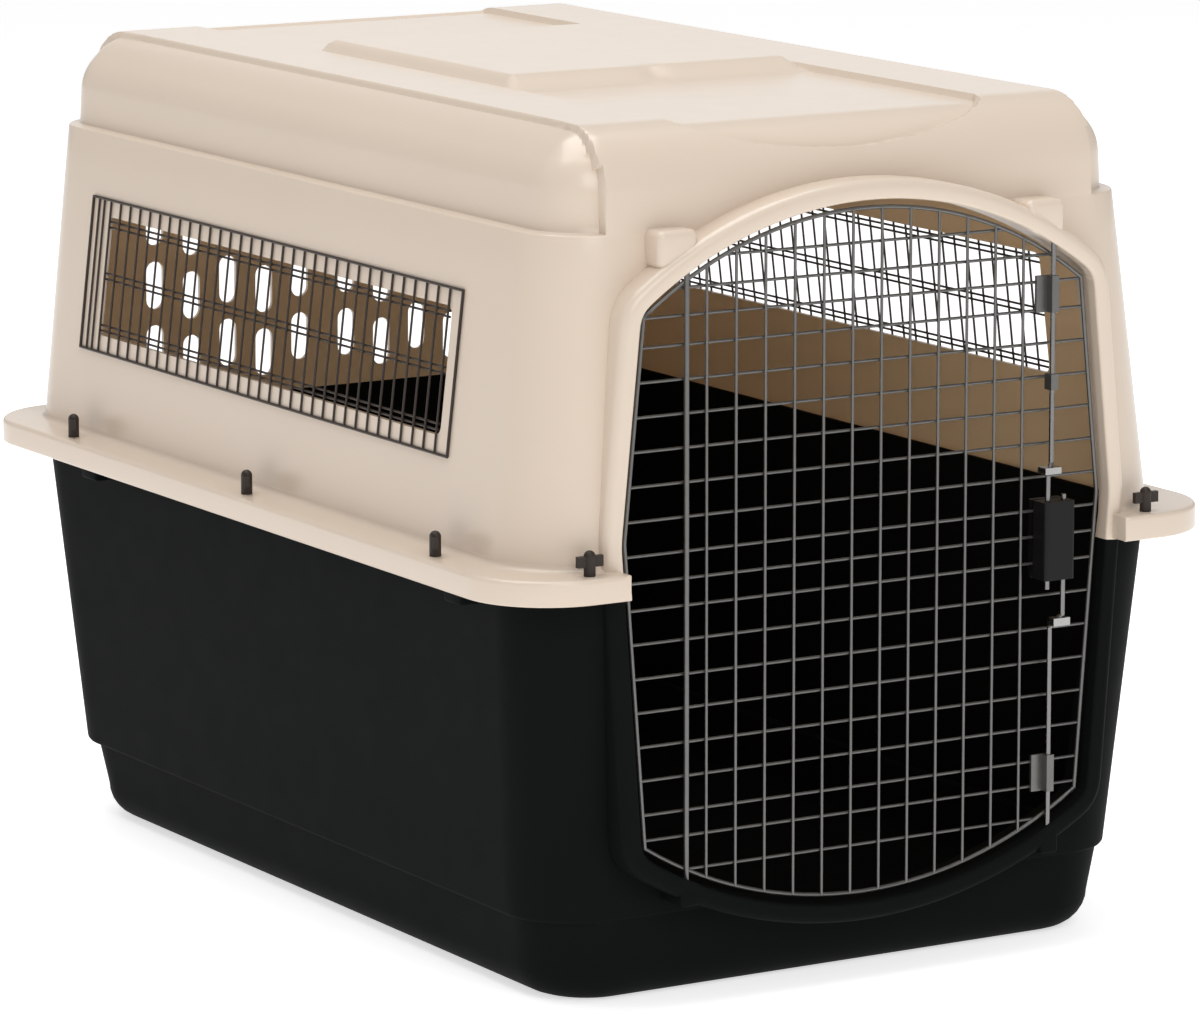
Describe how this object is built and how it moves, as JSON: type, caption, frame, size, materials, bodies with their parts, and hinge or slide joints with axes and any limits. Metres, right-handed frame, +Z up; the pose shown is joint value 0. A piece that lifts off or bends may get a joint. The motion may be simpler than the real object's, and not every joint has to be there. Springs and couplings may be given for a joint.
{
  "type": "pet transport carrier",
  "caption": "Two-part moulded plastic pet carrier with a swinging wire door, sprung squeeze latch, wire side windows and wing-nut flange fasteners.",
  "frame": {"origin": "on the floor, at the middle of the flange outline", "axes": "+Y from the door to the rear wall, +X to the right seen from the door, +Z up"},
  "size_m": [0.635, 0.895, 0.66],
  "materials": {
    "cream_plastic": "glossy, lightly textured",
    "charcoal_plastic": "satin",
    "nut_plastic": "satin",
    "window_wire": "dark coated wire",
    "door_steel": "zinc-plated wire",
    "bright_steel": "bright zinc",
    "latch_plastic": "satin"
  },
  "bodies": {
    "carrier": {"lower_shell": "charcoal_plastic", "upper_shell": "cream_plastic", "side_bolts": "nut_plastic", "side_wing_nuts": "nut_plastic", "front_bolts": "nut_plastic", "front_wing_nuts": "nut_plastic", "rear_bolts": "nut_plastic", "rear_wing_nuts": "nut_plastic", "left_window_frame": "window_wire", "left_window_bars": "window_wire", "left_window_rails": "window_wire", "right_window_frame": "window_wire", "right_window_bars": "window_wire", "right_window_rails": "window_wire"},
    "door": {"door_frame_wire": "door_steel", "door_upright_wires": "door_steel", "door_cross_wires": "door_steel", "hinge_rod": "door_steel", "latch_cover": "latch_plastic", "latch_back_plate": "latch_plastic", "latch_screws": "bright_steel", "upper_rod_guides": "bright_steel", "lower_rod_guide": "bright_steel", "upper_latch_spring": "bright_steel", "lower_latch_spring": "bright_steel"},
    "upper_latch": {"upper_latch_rod": "door_steel", "upper_rod_collar": "bright_steel", "upper_finger_tab": "bright_steel"},
    "lower_latch": {"lower_latch_rod": "door_steel", "lower_rod_collar": "bright_steel", "lower_finger_tab": "bright_steel"}
  },
  "joints": [
    {"name": "door_swing", "type": "hinge", "parent": "carrier", "child": "door", "pos_m": [-0.15748, -0.4229, 0.33], "axis": [0, 0, -1], "range_deg": [0, 110]},
    {"name": "upper_latch_slide", "type": "slide", "parent": "door", "child": "upper_latch", "axis": [0, 0, -1], "range_m": [0, 0.015], "stiffness_N_per_m": 150, "springref_m": -0.02, "deforming": ["upper_latch_spring"]},
    {"name": "lower_latch_slide", "type": "slide", "parent": "door", "child": "lower_latch", "axis": [0, 0, 1], "range_m": [0, 0.015], "stiffness_N_per_m": 150, "springref_m": -0.02, "deforming": ["lower_latch_spring"]}
  ]
}
